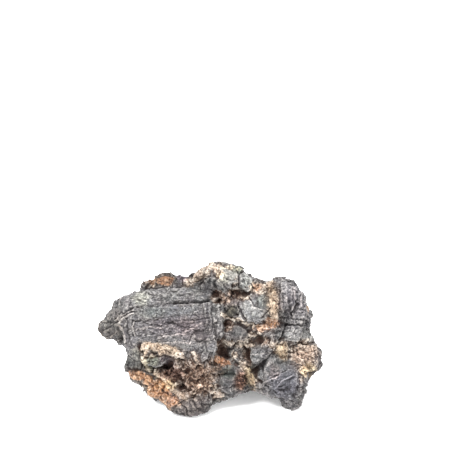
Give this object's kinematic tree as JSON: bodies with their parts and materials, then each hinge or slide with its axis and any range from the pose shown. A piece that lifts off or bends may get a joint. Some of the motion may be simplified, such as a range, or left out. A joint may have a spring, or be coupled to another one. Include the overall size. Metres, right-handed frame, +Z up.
{
  "type": "limestone rock",
  "caption": "Weathered limestone rock with a bedded face, calcite crust and rust stains, standing on its own feet.",
  "frame": {"origin": "middle of the rock's bounding box in X and Y, on the surface that it stands on", "axes": "+Z up, the rock's best side with the bedded face towards -Y, its longest side along X"},
  "size_m": [0.15, 0.094, 0.09],
  "materials": {
    "limestone": "rough broken dark grey limestone with cream calcite crust and rust-orange stains"
  },
  "bodies": {
    "root": {"limestone_rock": "limestone"}
  },
  "joints": []
}
